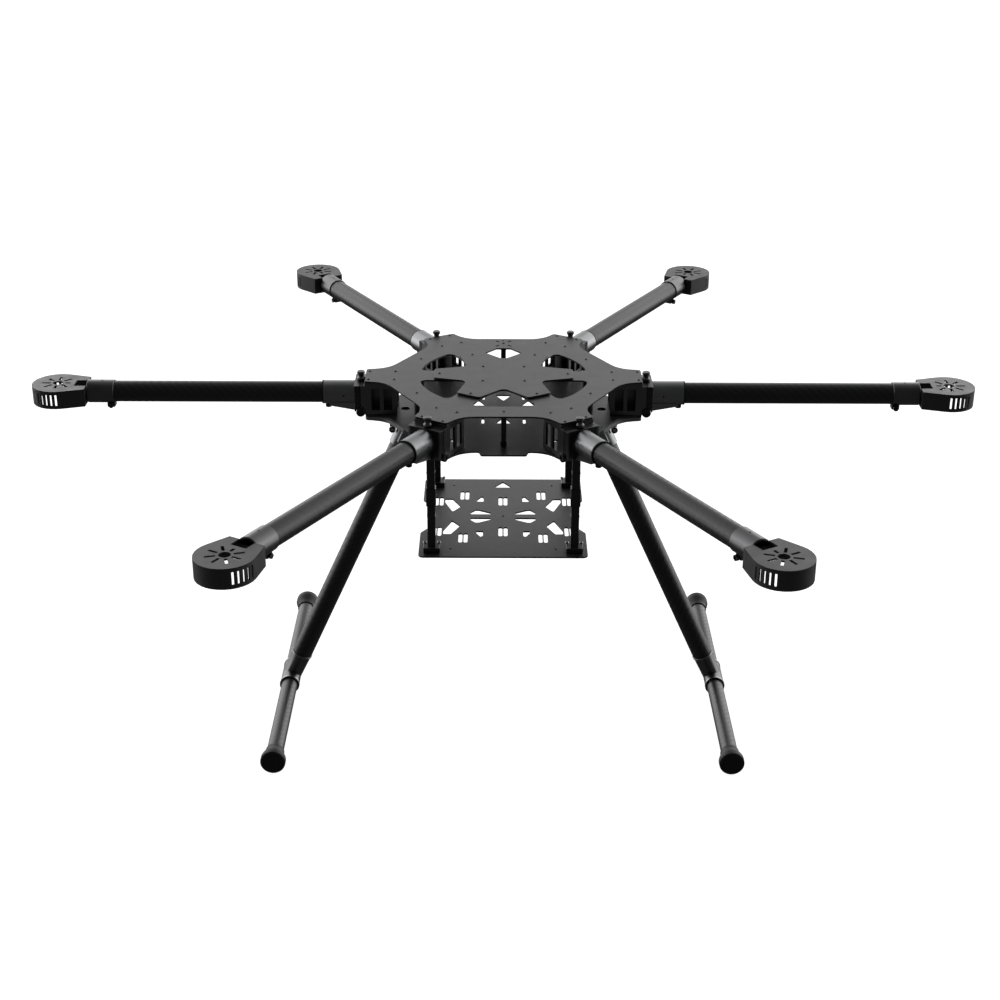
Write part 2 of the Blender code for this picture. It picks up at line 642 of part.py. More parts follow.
def build_landing_gear():
    for side, label in ((-1, "left"), (1, "right")):
        place_part(f"leg_socket_{label}", leg_socket(side), SATIN_METAL)
        place_part(f"leg_tube_{label}", leg_tube(side), CARBON_TUBE)
        place_part(f"skid_tee_{label}", skid_tee(side), SATIN_METAL)
        place_part(f"skid_tube_{label}", skid_tube(side), CARBON_TUBE)
        for end, place in ((-1, "front"), (1, "back")):
            place_part(f"skid_cap_{label}_{place}", skid_cap(side, end), RUBBER)


def build_hub():
    place_part("top_plate", top_plate(), CARBON_PLATE)
    place_part("upper_plate", upper_plate(), CARBON_PLATE)
    place_part("bottom_plate", bottom_plate(), CARBON_PLATE)
    place_part("standoff_front", standoff(-STANDOFF_DISTANCE), BLACK_METAL)
    place_part("standoff_back", standoff(STANDOFF_DISTANCE), BLACK_METAL)


def build_payload_bay():
    place_part("payload_plate", payload_plate(), CARBON_PLATE)
    for sign_x, label in ((-1, "left"), (1, "right")):
        for sign_y, place in ((-1, "front"), (1, "back")):
            place_part(f"payload_post_{label}_{place}", payload_post(sign_x, sign_y), BLACK_METAL)


clear_scene()
PARTS = new_collection("hexacopter_airframe")
CUTTERS = new_collection("cutters")
CARBON_PLATE = new_material("carbon_plate", (0.130, 0.130, 0.132), 0.45, 0.0)
CARBON_TUBE = new_material("carbon_tube", (0.055, 0.055, 0.057), 0.35, 0.0)
SATIN_METAL = new_material("satin_aluminium", (0.270, 0.272, 0.275), 0.38, 0.9)
BLACK_METAL = new_material("black_aluminium", (0.020, 0.020, 0.021), 0.40, 0.6)
STEEL = new_material("steel", (0.450, 0.450, 0.450), 0.30, 1.0)
BLACK_PLASTIC = new_material("black_plastic", (0.030, 0.030, 0.031), 0.50, 0.0)
RUBBER = new_material("rubber", (0.018, 0.018, 0.018), 0.75, 0.0)
build_hub()
build_arms()
build_payload_bay()
build_landing_gear()
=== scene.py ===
"""Folding hexacopter airframe: finished plates, tubes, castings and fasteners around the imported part.

Metres, +Z up. Arms are numbered anticlockwise from +X. A shape that repeats on every arm is made on
arm 1, where u runs outward along +X and v across it, and is then turned about the hub.
"""
import math

import bmesh
import bpy
from mathutils import Matrix, Vector


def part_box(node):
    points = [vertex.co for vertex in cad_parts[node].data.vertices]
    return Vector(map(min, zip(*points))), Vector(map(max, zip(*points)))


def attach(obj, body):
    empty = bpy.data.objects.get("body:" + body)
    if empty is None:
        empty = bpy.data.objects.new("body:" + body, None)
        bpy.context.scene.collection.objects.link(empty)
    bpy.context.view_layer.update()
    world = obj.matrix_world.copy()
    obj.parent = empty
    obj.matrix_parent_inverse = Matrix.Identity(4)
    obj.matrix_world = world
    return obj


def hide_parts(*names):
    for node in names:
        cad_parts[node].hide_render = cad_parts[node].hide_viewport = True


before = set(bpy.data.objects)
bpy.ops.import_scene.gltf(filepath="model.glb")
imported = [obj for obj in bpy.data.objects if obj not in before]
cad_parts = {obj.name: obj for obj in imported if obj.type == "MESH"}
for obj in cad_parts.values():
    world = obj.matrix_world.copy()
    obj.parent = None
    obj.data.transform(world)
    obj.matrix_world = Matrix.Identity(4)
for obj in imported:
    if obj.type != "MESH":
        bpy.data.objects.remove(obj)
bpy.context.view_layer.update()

bl_info = {
    "name": "Hexacopter Airframe",
    "version": (1, 0, 0),
    "blender": (4, 5, 0),
    "location": "3D View > Sidebar > Airframe",
    "description": "Carbon plates, tubes, castings and fasteners of a folding six-arm airframe",
    "category": "Object",
}

ARMS = range(1, 7)
ARM_STEP = math.pi / 3
TOP_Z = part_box("motor_mount_1")[1].z            # top of the motor seats; other heights refer to it
DECK_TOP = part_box("top_plate")[1].z
DECK_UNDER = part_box("bottom_plate")[0].z
FLOOR_OF_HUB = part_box("bottom_plate")[1].z
HINGE_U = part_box("arm_bracket_1")[1].x - 0.0042
HINGE_Z = TOP_Z - 0.0220
AXIS_Z = TOP_Z - 0.0080                         # centre line of the arm tubes
SLEEVE_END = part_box("arm_adapter_1")[1].x
TUBE_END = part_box("arm_tube_1")[1].x
LOBE_TIP = 0.1315                               # outer edge of the plates' lobes
FLANGE_END = 0.1416                             # outer face of the arms' flanges
FLANGE_SIDE = 0.0170                            # half width of the flanges
ROOT_SLEEVE_RADIUS = 0.0113
SEAT_SLEEVE_START = 0.3710
TUBE_RADIUS, TUBE_BORE = 0.0100, 0.0090         # arm and leg tubes
SKID_RADIUS, SKID_BORE = 0.0080, 0.0070
LEG_TUBE_START = 0.0300                         # along the leg, from the skid's axis
SCREW_HOLE = 0.0015                             # radius of the small holes in the plates
CLEAR = 0.0002                                  # air between pieces that touch
MIRRORED = ((1, 1), (1, -1), (-1, 1), (-1, -1))


# ---------------------------------------------------------------- settings
def colour_setting(name, description, code):
    return bpy.props.FloatVectorProperty(name=name, description=description, subtype="COLOR", size=3,
                                         min=0.0, max=1.0, default=hex_colour(code)[:3])


def length_setting(name, description, default):
    return bpy.props.FloatProperty(name=name, description=description, default=default, min=0.0,
                                   unit="LENGTH", subtype="DISTANCE", precision=5)


def hex_colour(code):
    """An sRGB hex colour as linear RGBA."""
    channels = [int(code[i:i + 2], 16) / 255 for i in (1, 3, 5)]
    return tuple(c / 12.92 if c <= 0.04045 else ((c + 0.055) / 1.055) ** 2.4 for c in channels) + (1.0,)


class AirframeColours(bpy.types.PropertyGroup):
    """Colours of the airframe's materials."""
    plate: colour_setting("Plate", "Lacquered face of the carbon plates", "#303031")
    tube: colour_setting("Tube", "Wrapped carbon tubes", "#242425")
    casting: colour_setting("Castings", "Blasted aluminium of the folding hinge halves", "#868788")
    sleeve: colour_setting("Sleeves", "Grey anodised sleeves, brackets, tees and knobs", "#646465")
    seat: colour_setting("Motor seats", "Filled nylon of the motor seats", "#343435")
    fitting: colour_setting("Fittings", "Black anodised posts and standoffs", "#1d1d1e")
    # Also the colour of the thin discs and strips that are painted shade inside small holes and slits.
    rubber: colour_setting("Caps", "Rubber of the skid caps", "#1c1c1c")


class AirframeSizes(bpy.types.PropertyGroup):
    """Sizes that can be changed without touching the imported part."""
    tow: length_setting("Tow", "Width of one tow of the carbon twill", 0.0020)
    plate_edge: length_setting("Plate edge", "Rounding along the edges of the plates", 0.00025)
    casting_edge: length_setting("Casting edge", "Rounding along the edges of the castings", 0.00035)
    screw_head: length_setting("Screw head", "Diameter of the button heads in the plates", 0.0032)


def colours():
    return bpy.context.scene.airframe_colours


def sizes():
    return bpy.context.scene.airframe_sizes


# ---------------------------------------------------------------- materials
def add(tree, kind, inputs=(), **settings):
    """Adds a shader node with its settings. An input is a number, a colour or another node's output."""
    node = tree.nodes.new(kind)
    for name, value in settings.items():
        setattr(node, name, value)
    for socket, value in dict(inputs).items():
        if isinstance(value, bpy.types.NodeSocket):
            tree.links.new(value, node.inputs[socket])
        else:
            node.inputs[socket].default_value = value
    return node


def new_material(name, roughness, metallic=0.0, **constants):
    """A material with its shader's constant sockets set. Returns it with its tree and shader."""
    material = bpy.data.materials.new(name)
    material.use_nodes = True
    tree = material.node_tree
    shader = tree.nodes["Principled BSDF"]
    shader.inputs["Roughness"].default_value = roughness
    shader.inputs["Metallic"].default_value = metallic
    for socket, value in constants.items():
        shader.inputs[socket.replace("_", " ")].default_value = value
    return material, tree, shader


def math_node(tree, operation, first, second=0.0):
    return add(tree, "ShaderNodeMath", {0: first, 1: second}, operation=operation).outputs[0]


def ranged(tree, value, low, high, start, end):
    """Maps a value between two limits onto another range, clamped."""
    return add(tree, "ShaderNodeMapRange", {"Value": value, "From Min": low, "From Max": high,
                                            "To Min": start, "To Max": end}).outputs[0]


def noise(tree, place, size, detail=3.0):
    """Noise whose features are about the given size in metres."""
    inputs = {"Vector": place, "Scale": 1.0 / size, "Detail": detail}
    return add(tree, "ShaderNodeTexNoise", inputs).outputs[0]


def tinted(tree, colour, share):
    """The colour made lighter or darker by a share around 1."""
    return add(tree, "ShaderNodeMix", {0: 1.0, 6: (*colour, 1.0), 7: share},
               data_type="RGBA", blend_type="MULTIPLY").outputs[2]


def twill(tree, across, along, tow):
    """2/2 twill: which set of tows is on top, 0 or 1, and the height of the tow that shows."""
    column = math_node(tree, "DIVIDE", across, tow)
    row = math_node(tree, "DIVIDE", along, tow)
    step = math_node(tree, "SUBTRACT", math_node(tree, "FLOOR", column), math_node(tree, "FLOOR", row))
    warp = math_node(tree, "LESS_THAN", math_node(tree, "FLOORED_MODULO", step, 4.0), 1.5)
    crowns = []
    for place in (column, row):
        share = math_node(tree, "MULTIPLY", math_node(tree, "FRACT", place), math.pi)
        crowns.append(math_node(tree, "SINE", share))
    height = add(tree, "ShaderNodeMix", {0: warp, 2: crowns[1], 3: crowns[0]}, data_type="FLOAT")
    return warp, height.outputs[0]


def carbon_plate():
    """Pressed carbon plate, satin lacquer over twill: a flat grey that breaks into a weave close up,
    with darker machined edges that show the plies."""
    material, tree, shader = new_material("pressed_carbon_plate", 0.42, IOR=1.5)
    coordinates = add(tree, "ShaderNodeTexCoord")
    place = add(tree, "ShaderNodeSeparateXYZ", {0: coordinates.outputs["Object"]})
    facing = add(tree, "ShaderNodeSeparateXYZ", {0: coordinates.outputs["Normal"]})
    edge = ranged(tree, math_node(tree, "ABSOLUTE", facing.outputs[2]), 0.75, 0.45, 0.0, 1.0)
    warp, height = twill(tree, place.outputs[0], place.outputs[1], sizes().tow)
    # Painted light: one set of tows is tinted lighter than the other, a painted sheen, and each tow is
    # darker at its edges than on its crown, a painted shade.
    painted_weave_light = math_node(tree, "ADD", ranged(tree, warp, 0.0, 1.0, 0.93, 1.03),
                      ranged(tree, height, 0.0, 1.0, -0.06, 0.02))
    haze = ranged(tree, noise(tree, coordinates.outputs["Object"], 0.060), 0.3, 0.7, 0.98, 1.02)
    ply = 0.00025
    plies = math_node(tree, "SINE", math_node(tree, "MULTIPLY", place.outputs[2], 2 * math.pi / ply))
    cut = ranged(tree, plies, -1.0, 1.0, 0.22, 0.42)
    share = add(tree, "ShaderNodeMix", {0: edge, 2: math_node(tree, "MULTIPLY", painted_weave_light, haze), 3: cut},
                data_type="FLOAT").outputs[0]
    tree.links.new(tinted(tree, colours().plate, share), shader.inputs["Base Color"])
    polish = noise(tree, coordinates.outputs["Object"], 0.012)
    tree.links.new(ranged(tree, polish, 0.3, 0.7, 0.36, 0.40), shader.inputs["Roughness"])
    bump = add(tree, "ShaderNodeBump", {"Height": height, "Distance": 0.00004, "Strength": 0.35})
    tree.links.new(bump.outputs[0], shader.inputs["Normal"])
    return material


def carbon_tube():
    """Roll-wrapped carbon tube, ground and clear coated: nearly black, with a long soft highlight
    that the twill breaks up. The weave follows the tube's own UV map, which is in metres."""
    material, tree, shader = new_material("wrapped_carbon_tube", 0.36, IOR=1.5)
    wrap = add(tree, "ShaderNodeUVMap", uv_map="wrap")
    place = add(tree, "ShaderNodeSeparateXYZ", {0: wrap.outputs[0]})
    warp, height = twill(tree, place.outputs[0], place.outputs[1], sizes().tow)
    # Painted light: one set of tows is tinted lighter than the other, a painted sheen, and each tow is
    # darker at its edges than on its crown, a painted shade.
    painted_weave_light = math_node(tree, "ADD", ranged(tree, warp, 0.0, 1.0, 0.76, 1.12),
                      ranged(tree, height, 0.0, 1.0, -0.14, 0.05))
    coordinates = add(tree, "ShaderNodeTexCoord")
    haze = ranged(tree, noise(tree, coordinates.outputs["Object"], 0.035), 0.3, 0.7, 0.94, 1.06)
    tree.links.new(tinted(tree, colours().tube, math_node(tree, "MULTIPLY", painted_weave_light, haze)),
                   shader.inputs["Base Color"])
    tree.links.new(ranged(tree, warp, 0.0, 1.0, 0.34, 0.42), shader.inputs["Roughness"])
    bump = add(tree, "ShaderNodeBump", {"Height": height, "Distance": 0.00005, "Strength": 0.6})
    tree.links.new(bump.outputs[0], shader.inputs["Normal"])
    return material


def blasted_aluminium(name, colour, bright_from=0.0):
    """Bead-blasted, anodised aluminium: an even satin metal, slightly cloudy, with a blasted grain of
    about a third of a millimetre that spreads its highlights. Nearer the hub than bright_from its
    colour is darkened to dark grey: painted shade on the flanges of the arms."""
    material, tree, shader = new_material(name, 0.36, 1.0)
    coordinates = add(tree, "ShaderNodeTexCoord")
    grain = noise(tree, coordinates.outputs["Object"], 0.00035, 2.0)
    cloud = noise(tree, coordinates.outputs["Object"], 0.015)
    share = math_node(tree, "ADD", ranged(tree, cloud, 0.3, 0.7, 0.94, 1.04),
                      ranged(tree, grain, 0.3, 0.7, -0.04, 0.04))
    if bright_from:
        # Painted shade: nearer the hub than bright_from the colour is darkened to 0.22 of itself.
        level = add(tree, "ShaderNodeVectorMath",
                    {0: coordinates.outputs["Object"], 1: (1.0, 1.0, 0.0)}, operation="MULTIPLY")
        outward = add(tree, "ShaderNodeVectorMath", {0: level.outputs[0]}, operation="LENGTH")
        painted_flange_shade = ranged(tree, outward.outputs["Value"], bright_from - 0.0001, bright_from + 0.0001,
                      0.22, 1.0)
        share = math_node(tree, "MULTIPLY", share, painted_flange_shade)
    tree.links.new(tinted(tree, colour, share), shader.inputs["Base Color"])
    tree.links.new(ranged(tree, cloud, 0.3, 0.7, 0.32, 0.40), shader.inputs["Roughness"])
    bump = add(tree, "ShaderNodeBump", {"Height": grain, "Distance": 0.00002, "Strength": 0.5})
    tree.links.new(bump.outputs[0], shader.inputs["Normal"])
    return material


def grained(name, colour, roughness, grain_size, depth, spread=0.06, **constants):
    """A dark finish with an even surface grain and slight unevenness."""
    material, tree, shader = new_material(name, roughness, **constants)
    coordinates = add(tree, "ShaderNodeTexCoord")
    grain = noise(tree, coordinates.outputs["Object"], grain_size, 2.0)
    cloud = noise(tree, coordinates.outputs["Object"], 0.010)
    share = math_node(tree, "ADD", ranged(tree, cloud, 0.3, 0.7, 1.0 - spread, 1.0 + spread),
                      ranged(tree, grain, 0.3, 0.7, -spread, spread))
    tree.links.new(tinted(tree, colour, share), shader.inputs["Base Color"])
    tree.links.new(ranged(tree, cloud, 0.3, 0.7, roughness - 0.04, roughness + 0.05),
                   shader.inputs["Roughness"])
    bump = add(tree, "ShaderNodeBump", {"Height": grain, "Distance": depth, "Strength": 0.5})
    tree.links.new(bump.outputs[0], shader.inputs["Normal"])
    return material


def turned_steel():
    """Turned and polished steel: bright, with fine rings left by the tool. They are 0.1 mm apart in
    life and drawn at 0.3 mm."""
    material, tree, shader = new_material("turned_steel", 0.28, 1.0)
    coordinates = add(tree, "ShaderNodeTexCoord")
    place = add(tree, "ShaderNodeSeparateXYZ", {0: coordinates.outputs["Object"]})
    rings = math_node(tree, "SINE", math_node(tree, "MULTIPLY", place.outputs[2], 2 * math.pi / 0.0003))
    cloud = noise(tree, coordinates.outputs["Object"], 0.004)
    share = math_node(tree, "ADD", ranged(tree, cloud, 0.3, 0.7, 0.90, 1.06),
                      ranged(tree, rings, -1.0, 1.0, -0.03, 0.03))
    tree.links.new(tinted(tree, hex_colour("#9a9a9b")[:3], share), shader.inputs["Base Color"])
    bump = add(tree, "ShaderNodeBump", {"Height": rings, "Distance": 0.00001, "Strength": 0.4})
    tree.links.new(bump.outputs[0], shader.inputs["Normal"])
    return material


MATERIALS = {}


def make_materials():
    """All finishes, by the name that the pieces use."""
    chosen = colours()
    MATERIALS["plate"] = carbon_plate()
    MATERIALS["tube"] = carbon_tube()
    MATERIALS["casting"] = blasted_aluminium("blasted_aluminium", chosen.casting)
    # The adapters' flanges near the hub get a darkened colour: painted shade.
    MATERIALS["hinge"] = blasted_aluminium("aluminium_with_painted_flange_shade", chosen.casting, FLANGE_END + 0.0008)
    MATERIALS["sleeve"] = blasted_aluminium("grey_anodised_aluminium", chosen.sleeve)
    # Glass-filled nylon, injection moulded: satin grey-black with a fine spark-eroded grain.
    MATERIALS["seat"] = grained("filled_nylon", chosen.seat, 0.40, 0.0005, 0.00003)
    # Black anodised aluminium, extruded and cut: deep black with a soft sheen.
    MATERIALS["fitting"] = grained("black_anodised_aluminium", chosen.fitting, 0.40, 0.0004, 0.00001)
    # Moulded rubber, slightly dusty: almost no highlight. The same finish on thin discs and strips
    # is painted shade inside small holes and slits.
    MATERIALS["rubber"] = grained("moulded_rubber_and_hole_shade", chosen.rubber, 0.56, 0.0006, 0.00004,
                                  Specular_IOR_Level=0.32)
    # Blackened steel of the screw heads, oily dark with a small bright highlight.
    MATERIALS["screw"] = grained("blackened_steel", hex_colour("#1a1a1b")[:3], 0.34, 0.0003, 0.00001)
    MATERIALS["steel"] = turned_steel()


# ---------------------------------------------------------------- outlines
def rounded(corners, fine=math.radians(12)):
    """Points of a closed outline whose corners (x, y, radius) are turned into arcs."""
    points = []
    count = len(corners)
    for index, (x, y, radius) in enumerate(corners):
        here = Vector((x, y))
        before = (Vector(corners[index - 1][:2]) - here).normalized()
        after = (Vector(corners[(index + 1) % count][:2]) - here).normalized()
        turn = math.pi - before.angle(after)
        if radius <= 0 or turn < 0.05:
            points.append((x, y))
            continue
        start = here + before * radius * math.tan(turn / 2)
        centre = here + (before + after).normalized() * radius / math.cos(turn / 2)
        steps = max(2, math.ceil(turn / fine))
        sense = 1 if before.x * after.y - before.y * after.x < 0 else -1
        for step in range(steps + 1):
            arm = start - centre
            arm.rotate(Matrix.Rotation(sense * turn * step / steps, 2))
            points.append(tuple(centre + arm))
    return points


def turned_outline(points, angle, offset=(0.0, 0.0)):
    cosine, sine = math.cos(angle), math.sin(angle)
    return [(x * cosine - y * sine + offset[0], x * sine + y * cosine + offset[1]) for x, y in points]


def circle(x, y, radius, segments=20):
    step = 2 * math.pi / segments
    return [(x + radius * math.cos(step * i), y + radius * math.sin(step * i)) for i in range(segments)]


def slot(x, y, length, width, angle):
    """A straight slot with round ends."""
    half, side = length / 2, width / 2
    corners = [(half, side), (-half, side), (-half, -side), (half, -side)]
    return turned_outline(rounded([(px, py, side * 0.98) for px, py in corners]), angle, (x, y))


def mirrored_four(outline):
    return [[(x * sx, y * sy) for x, y in outline] for sx, sy in MIRRORED]


def around_arms(outline):
    return [turned_outline(outline, ARM_STEP * index) for index in range(6)]


# ---------------------------------------------------------------- solids
def finished(bm, place=None, sharp=30, flat_faces=False):
    """Closes the mesh, points its faces outwards and puts it in place. Edges over the sharp angle are
    creased, and with flat_faces so are those round the upper and lower faces of a plate."""
    bmesh.ops.remove_doubles(bm, verts=bm.verts, dist=1e-6)
    bmesh.ops.recalc_face_normals(bm, faces=bm.faces)
    for face in bm.faces:
        face.smooth = True
    for edge in bm.edges:
        edge.smooth = len(edge.link_faces) == 2 and edge.calc_face_angle(0.0) < math.radians(sharp)
        if flat_faces and any(abs(face.normal.z) > 0.999 for face in edge.link_faces):
            edge.smooth = False
    if place is not None:
        bmesh.ops.transform(bm, matrix=place, verts=bm.verts)
    mesh = bpy.data.meshes.new("piece")
    bm.to_mesh(mesh)
    bm.free()
    return mesh


def flat_plate(outlines, low, high, edge):
    """A plate with softened edges between two heights, drawn as a filled flat curve."""
    curve = bpy.data.curves.new("outline", "CURVE")
    curve.dimensions = "2D"
    curve.fill_mode = "BOTH"
    curve.extrude = (high - low) / 2 - edge
    curve.bevel_depth = edge
    curve.bevel_resolution = 1
    curve.offset = -edge
    for points in outlines:
        spline = curve.splines.new("POLY")
        spline.points.add(len(points) - 1)
        spline.use_cyclic_u = True
        for point, (x, y) in zip(spline.points, points):
            point.co = (x, y, 0.0, 1.0)
    item = bpy.data.objects.new("outline", curve)
    bpy.context.scene.collection.objects.link(item)
    depsgraph = bpy.context.evaluated_depsgraph_get()
    mesh = bpy.data.meshes.new_from_object(item.evaluated_get(depsgraph))
    bpy.data.objects.remove(item, do_unlink=True)
    bpy.data.curves.remove(curve)
    bm = bmesh.new()
    bm.from_mesh(mesh)
    bpy.data.meshes.remove(mesh)
    return finished(bm, Matrix.Translation((0.0, 0.0, (low + high) / 2)), 30, True)


def box(low, high, edge=0.0):
    """A box between two corners, its edges rounded."""
    low, high = Vector(low), Vector(high)
    bm = bmesh.new()
    place = Matrix.Translation((low + high) / 2) @ Matrix.Diagonal((*(high - low), 1.0))
    bmesh.ops.create_cube(bm, size=1.0, matrix=place)
    if edge:
        bmesh.ops.bevel(bm, geom=bm.edges[:], offset=edge, offset_type="OFFSET", segments=1,
                        profile=0.5, affect="EDGES", material=-1)
    return finished(bm)


def turned(profile, place, segments=48, closed=False, sweep=2 * math.pi):
    """A profile of (radius, height) points spun about Z. A closed one is a ring or tube."""
    bm = bmesh.new()
    points = [bm.verts.new((radius, 0.0, height)) for radius, height in profile]
    edges = [bm.edges.new(pair) for pair in zip(points, points[1:])]
    if closed:
        edges.append(bm.edges.new((points[-1], points[0])))
    full = sweep > 6.28
    geometry = points + edges
    if closed and not full:
        geometry.append(bm.faces.new(points))
    bmesh.ops.spin(bm, geom=geometry, cent=(0, 0, 0), axis=(0, 0, 1), dvec=(0, 0, 0), angle=sweep,
                   steps=segments, use_merge=full, use_duplicate=False)
    return finished(bm, place, 32)


def lying(u, z, v=0.0):
    """Turns a shape spun about Z so that its axis runs outward along arm 1."""
    return Matrix.Translation((u, v, z)) @ Matrix.Rotation(math.pi / 2, 4, "Y")


def crosswise(u, z, v=0.0):
    """Turns a shape spun about Z so that its axis runs across arm 1."""
    return Matrix.Translation((u, v, z)) @ Matrix.Rotation(-math.pi / 2, 4, "X")


def both_sides(place):
    """The place as it is, and turned round so that its axis points the other way."""
    return place, place @ Matrix.Rotation(math.pi, 4, "X")


def joined(meshes):
    """Several meshes as one, each staying its own shell."""
    bm = bmesh.new()
    for mesh in meshes:
        bm.from_mesh(mesh)
        bpy.data.meshes.remove(mesh)
    mesh = bpy.data.meshes.new("piece")
    bm.to_mesh(mesh)
    bm.free()
    return mesh


def refined(node, edge, angle=30):
    """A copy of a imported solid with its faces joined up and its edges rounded."""
    bm = bmesh.new()
    bm.from_mesh(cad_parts[node].data)
    bmesh.ops.remove_doubles(bm, verts=bm.verts, dist=2e-6)
    bmesh.ops.dissolve_limit(bm, angle_limit=math.radians(1.0), verts=bm.verts, edges=bm.edges)
    sharp = [e for e in bm.edges
             if len(e.link_faces) == 2 and e.calc_face_angle(0.0) > math.radians(angle)]
    bmesh.ops.bevel(bm, geom=sharp, offset=edge, offset_type="OFFSET", segments=1, profile=0.5,
                    affect="EDGES", material=-1, clamp_overlap=True)
    return finished(bm)


def place_piece(name, mesh, finish, body, replaces=()):
    """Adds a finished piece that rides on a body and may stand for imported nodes."""
    mesh.materials.clear()
    mesh.materials.append(MATERIALS[finish])
    piece = bpy.data.objects.new(name, mesh)
    bpy.context.scene.collection.objects.link(piece)
    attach(piece, body)
    if replaces:
        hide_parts(*replaces)
    return piece


def on_each_arm(name, mesh, finish, body, replaced=None, arms=ARMS):
    """Copies a mesh made on arm 1 to the other arms. A body name may hold the arm's number."""
    for number in arms:
        copy = mesh.copy()
        copy.transform(Matrix.Rotation(ARM_STEP * (number - 1), 4, "Z"))
        nodes = [replaced.format(number)] if replaced else []
        place_piece(f"{name}_{number}", copy, finish, body.format(number), nodes)
    bpy.data.meshes.remove(mesh)


def button_head(x, y, z, radius, height, up=1, segments=16):
    """A button head with a hexagon recess, standing on the height z."""
    profile = [(radius * 0.42, height * 0.35), (radius * 0.48, height), (radius * 0.75, height * 0.86),
               (radius * 0.95, height * 0.45), (radius, 0.0), (radius * 0.42, 0.0)]
    place = Matrix.Translation((x, y, z)) @ Matrix.Diagonal((1.0, 1.0, up, 1.0))
    floor = [(0.0, height * 0.35), (radius * 0.42, height * 0.35), (radius * 0.42, 0.0), (0.0, 0.0)]
    shells = [turned(profile, None, segments, closed=True), turned(floor, None, 6)]
    for shell in shells:
        shell.transform(place)
        if up < 0:
            shell.flip_normals()
    return joined(shells)


# ---------------------------------------------------------------- plates
def lobed_outline(tab=False):
    """Six rounded lobes joined by straight notches. The bottom plate also has a front tab."""
    outline = []
    for index in range(6):
        for u, v, radius in [(0.1109, -0.0199, 0.026), (LOBE_TIP, -0.017, 0.003),
                             (LOBE_TIP, 0.017, 0.003), (0.1109, 0.0199, 0.026)]:
            (x, y), = turned_outline([(u, v)], ARM_STEP * index)
            outline.append((x, y, radius))
        if tab and index == 4:
            outline += [(-0.0225, -0.106, 0.002), (-0.0205, -0.114, 0.002),
                        (0.0205, -0.114, 0.002), (0.0225, -0.106, 0.002)]
    return rounded(outline)


def sector(*half):
    """An opening between two ribs along +X, its outer end given by corners of one side."""
    corners = [(0.025, 0.0, 0.005)]
    corners += [(x, -y, radius) for x, y, radius in half]
    corners += [(x, y, radius) for x, y, radius in reversed(half)]
    return rounded(corners)


def side_opening():
    limit = math.pi / 6 - math.asin(0.0125 / 0.081)
    corners = [(0.025, 0.0, 0.005)]
    for step in range(-6, 7):
        angle = limit * step / 6
        radius = 0.006 if abs(step) == 6 else 0.0
        corners.append((0.081 * math.cos(angle), 0.081 * math.sin(angle), radius))
    return rounded(corners)


def lobe_screws():
    """Centres of the screws that hold the arm brackets."""
    return [turned_outline([(u, v)], ARM_STEP * index)[0] for index in range(6)
            for u in (0.128, 0.1035) for v in (-0.011, 0.011)]


def notch_screws():
    return [turned_outline([(0.093, 0.0)], math.pi / 6 + ARM_STEP * index)[0] for index in range(6)]


def payload_outline():
    right = [(0.080, -0.0905, 0.005), (0.080, -0.038, 0.006), (0.0725, -0.027, 0.006),
             (0.0725, 0.027, 0.006), (0.080, 0.038, 0.006), (0.080, 0.0905, 0.005)]
    return rounded(right + [(-x, y, radius) for x, y, radius in reversed(right)])


class AIRFRAME_OT_hub_plates(bpy.types.Operator):
    """Top, star and bottom plates of the hub"""
    bl_idname = "airframe.hub_plates"
    bl_label = "Hub Plates"

    def execute(self, context):
        edge = sizes().plate_edge
        holes = [circle(x, y, SCREW_HOLE) for x, y in lobe_screws()]
        openings = [turned_outline(side_opening(), math.radians(a)) for a in (30, 150, -30, -150)]
        front = sector((0.0745, 0.0286, 0.003), (0.0805, 0.0255, 0.003))
        back = sector((0.061, 0.0208, 0.003), (0.0775, 0.007, 0.002))
        openings.append(turned_outline(front, -math.pi / 2))
        openings.append(turned_outline(back, math.pi / 2))
        openings += [slot(0.006 * sx, 0.092 + 0.0065 * sy, 0.005, 0.0017, sx * sy * math.pi / 4)
                     for sx, sy in MIRRORED]
        openings.append(circle(0.0, 0.1005, 0.001))
        notches = [circle(x, y, SCREW_HOLE) for x, y in notch_screws()]
        low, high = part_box("top_plate")[0].z, DECK_TOP
        mesh = flat_plate([lobed_outline()] + openings + holes + notches, low, high, edge)
        place_piece("plate_top", mesh, "plate", "frame", ["top_plate"])

        star = []
        for index in range(6):
            for u, v, radius in [(0.066, -0.012, 0.0025), (0.066, 0.012, 0.0025),
                                 (0.0346, 0.020, 0.006)]:
                (x, y), = turned_outline([(u, v)], ARM_STEP * index)
                star.append((x, y, radius))
        star_holes = around_arms(circle(0.061, 0.0, SCREW_HOLE))
        star_holes += mirrored_four(circle(0.0197, 0.0195, SCREW_HOLE))
        low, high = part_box("upper_plate")[0].z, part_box("upper_plate")[1].z
        mesh = flat_plate([rounded(star)] + star_holes, low, high, edge)
        place_piece("plate_star", mesh, "plate", "frame", ["upper_plate"])

        openings = around_arms(circle(0.094, 0.0, 0.0042, 28))
        for sign in (-1, 1):
            openings.append(rounded([(-0.008, 0.037 * sign, 0.001), (0.008, 0.037 * sign, 0.001),
                                     (0.0, 0.0215 * sign, 0.001)]))
        openings += mirrored_four(rounded([(0.017, 0.0087, 0.001), (0.0305, 0.0087, 0.001),
                                           (0.024, 0.0235, 0.001)]))
        openings += mirrored_four(slot(0.0195, 0.0312, 0.0125, 0.0026, math.pi / 2))
        mesh = flat_plate([lobed_outline(tab=True)] + openings + holes, DECK_UNDER, FLOOR_OF_HUB, edge)
        place_piece("plate_bottom", mesh, "plate", "frame", ["bottom_plate"])
        return {"FINISHED"}


